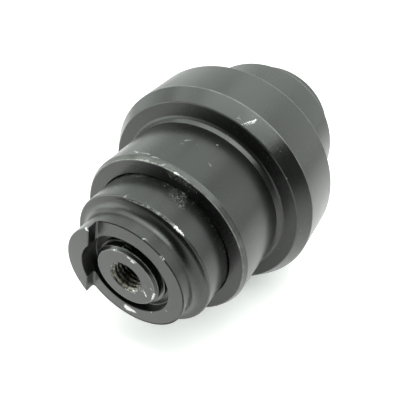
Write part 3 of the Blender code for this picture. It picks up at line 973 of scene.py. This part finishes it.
STUDIO_TINT = (0.935, 1.0, 0.945)
FLOOR_HALF = 6000.0
FLOOR_DEEP = (0.895, 0.85, 0.88)
FLOOR_PALE = (0.935, 0.89, 0.92)
FLOOR_GLOW = 0.33           # the floor is a pale table lit softly from below
BACKDROP_R = 1300.0         # well outside the softboxes
BACKDROP_DEEP = (0.01, 0.01, 0.01)
BACKDROP_PALE = (0.02, 0.02, 0.02)
BACKDROP_GLOW = (0.87, 0.89, 0.88)
ROOM_LEVEL = 0.02           # brightness of the room between its glows
GLOW_ELEVATION = math.radians(8.0)
GLOW_EDGE = 0.3             # cosine of the angle at which a glow has faded out
GLOW_CORE = 1.0             # and at which it is full
ROOM_GLOWS = {148: 1.6, 225: 0.8, 270: 1.1, 315: 0.3}   # azimuth in degrees: brightness
SOFTBOXES = [               # name, azimuth and elevation in degrees, distance, side, brightness
    ("overhead_softbox", 0, 88, 450.0, 230.0, 2.1),
    ("overhead_halo", 0, 88, 460.0, 380.0, 2.3),
    ("front_softbox", 37, 68, 500.0, 400.0, 0.9),
    ("right_softbox", 85, 58, 600.0, 350.0, 5.0),
    ("low_right_softbox", 113, 32, 600.0, 300.0, 0.7),
    ("back_softbox", 176, 55, 600.0, 350.0, 0.95),
    ("back_left_softbox", 230, 55, 600.0, 350.0, 0.92),
    ("left_softbox", 283, 57, 600.0, 350.0, 2.2),
    ("low_left_softbox", 307, 8, 600.0, 350.0, 2.6),
    ("low_front_softbox", 330, 20, 600.0, 350.0, 0.7),
]


def facing(azimuth, elevation):
    """The way out to an azimuth, from -Y towards +X, and an elevation."""
    return Vector((
        math.sin(azimuth) * math.cos(elevation),
        -math.cos(azimuth) * math.cos(elevation),
        math.sin(elevation),
    ))


def make_camera():
    """The camera, which looks down at the near end from its right."""
    data = bpy.data.cameras.new("camera")
    data.sensor_width = CAMERA_SENSOR
    data.lens = CAMERA_LENS
    data.clip_start = CAMERA_NEAR * MM
    data.dof.use_dof = False
    camera = bpy.data.objects.new("camera", data)
    bpy.context.scene.collection.objects.link(camera)
    back = facing(CAMERA_AZIMUTH, CAMERA_ELEVATION)
    camera.location = (Vector(CAMERA_AIM) + back * CAMERA_DISTANCE) * MM
    camera.rotation_mode = "QUATERNION"
    camera.rotation_quaternion = (-back).to_track_quat("-Z", "Y")
    bpy.context.scene.camera = camera


def make_floor(height):
    """A wide, plain pale floor under the roller."""
    bm = bmesh.new()
    corners = [(-1, -1), (1, -1), (1, 1), (-1, 1)]
    bm.faces.new([bm.verts.new((x * FLOOR_HALF, y * FLOOR_HALF, height)) for x, y in corners])
    floor = new_piece("floor", bm)
    look = Look("floor_card")
    cloud = look.noise(0.02, detail=3.0)
    colour = look.blend(cloud, FLOOR_DEEP, FLOOR_PALE)
    roughness = look.total((cloud, 0.1), (1.0, 0.5))
    look.glow(STUDIO_TINT, FLOOR_GLOW)
    floor.data.materials.append(look.surface(colour, roughness, metallic=0.0))


def make_backdrop():
    """A pale screen all round, which only the camera sees: the room's own light passes it.

    It is nearly black but for its own even glow, so that no light shows on it.
    """
    bm = bmesh.new()
    bmesh.ops.create_uvsphere(bm, u_segments=48, v_segments=24, radius=BACKDROP_R)
    backdrop = new_piece("backdrop", bm)
    backdrop.visible_diffuse = False
    backdrop.visible_glossy = False
    backdrop.visible_transmission = False
    backdrop.visible_shadow = False
    look = Look("backdrop_card")
    colour = look.blend(look.noise(0.001, detail=2.0), BACKDROP_DEEP, BACKDROP_PALE)
    look.shader.inputs["Specular IOR Level"].default_value = 0.0
    look.glow(BACKDROP_GLOW, 1.0)
    backdrop.data.materials.append(look.surface(colour, roughness=1.0, metallic=0.0))


def make_light(name, place, side, brightness):
    """One soft square light, pointed at the origin and hidden from the camera."""
    data = bpy.data.lights.new(name, "AREA")
    data.shape = "SQUARE"
    data.size = side * MM
    data.color = STUDIO_TINT
    data.energy = math.pi * brightness * (side * MM) ** 2
    light = bpy.data.objects.new(name, data)
    bpy.context.scene.collection.objects.link(light)
    light.visible_camera = False
    light.location = place * MM
    light.rotation_mode = "QUATERNION"
    light.rotation_quaternion = (-place).to_track_quat("-Z", "Y")


def make_room():
    """A dim room with pale glows low in it, behind the roller and on its left."""
    world = bpy.data.worlds.new("room")
    world.use_nodes = True
    tree = world.node_tree
    background = tree.nodes["Background"]
    background.inputs["Color"].default_value = (*STUDIO_TINT, 1.0)
    direction = tree.nodes.new("ShaderNodeTexCoord").outputs["Generated"]
    level = tree.nodes.new("ShaderNodeValue").outputs[0]
    level.default_value = ROOM_LEVEL
    for azimuth, brightness in ROOM_GLOWS.items():
        toward = tree.nodes.new("ShaderNodeVectorMath")
        toward.operation = "DOT_PRODUCT"
        toward.inputs[1].default_value = facing(math.radians(azimuth), GLOW_ELEVATION)
        tree.links.new(direction, toward.inputs[0])
        fade = tree.nodes.new("ShaderNodeMapRange")
        fade.interpolation_type = "SMOOTHSTEP"
        fade.inputs["From Min"].default_value = GLOW_EDGE
        fade.inputs["From Max"].default_value = GLOW_CORE
        tree.links.new(toward.outputs["Value"], fade.inputs["Value"])
        added = tree.nodes.new("ShaderNodeMath")
        added.operation = "MULTIPLY_ADD"
        tree.links.new(fade.outputs["Result"], added.inputs[0])
        added.inputs[1].default_value = brightness
        tree.links.new(level, added.inputs[2])
        level = added.outputs[0]
    tree.links.new(level, background.inputs["Strength"])
    bpy.context.scene.world = world


def make_studio():
    """The room, its softboxes and plain display colours."""
    make_room()
    for name, azimuth, elevation, distance, side, brightness in SOFTBOXES:
        way = facing(math.radians(azimuth), math.radians(elevation))
        make_light(name, way * distance, side, brightness)
    bpy.context.scene.view_settings.view_transform = "Standard"


# The whole


def dress(piece, node, body, material):
    """Finish one piece: its shading and material, and the CAD part and body that it goes with."""
    shade(piece)
    piece.data.materials.clear()
    piece.data.materials.append(material)
    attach(piece, body)
    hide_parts(node)


def main():
    """Dress every CAD part and set the stage."""
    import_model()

    collar_look = collar_paint()
    clip_look = plain_metal("clip_finish")
    bronze = plain_metal("bronze_finish")
    iron = plain_metal("iron_finish")
    nitrile = rubber()

    dress(make_shell(), "roller_shell", "roller", shell_paint())
    dress(make_shaft(), "shaft", "shaft_group", shaft_steel())

    ring_r = SHAFT_R + GAP + COLLAR_RING_R
    end_pieces = [
        (make_collar(), "near_collar", "shaft_group", "black_paint", collar_look),
        (make_circlip(), "near_circlip", "shaft_group", "clip_steel", clip_look),
        (make_plug(), "near_oil_plug", "shaft_group", "clip_steel", clip_look),
        (make_rubber_ring("visual_near_collar_o_ring", ring_r, COLLAR_RING_PLACE, COLLAR_RING_R),
         "near_collar_o_ring", "shaft_group", "seal_rubber", nitrile),
        (make_seal_ring("visual_near_fixed_seal_ring", -1),
         "near_fixed_seal_ring", "shaft_group", "seal_iron", iron),
        (make_rubber_ring("visual_near_fixed_seal_rubber",
                          TORIC_CENTRE_R, SEAL_PLANE + TORIC_BEHIND, TORIC_R),
         "near_fixed_seal_rubber", "shaft_group", "seal_rubber", nitrile),
        (make_bush(), "near_bush", "roller", "bush_bronze", bronze),
        (make_seal_ring("visual_near_turning_seal_ring", 1),
         "near_turning_seal_ring", "roller", "seal_iron", iron),
        (make_rubber_ring("visual_near_turning_seal_rubber",
                          TORIC_CENTRE_R, SEAL_PLANE - TORIC_BEHIND, TORIC_R),
         "near_turning_seal_rubber", "roller", "seal_rubber", nitrile),
    ]
    for piece, node, body, slot, material in end_pieces:
        far_piece = far_copy(piece)
        dress(piece, node, body, material)
        dress(far_piece, node.replace("near_", "far_"), body, material)

    make_floor(-FLANGE_R)
    make_backdrop()
    make_studio()
    make_camera()


main()
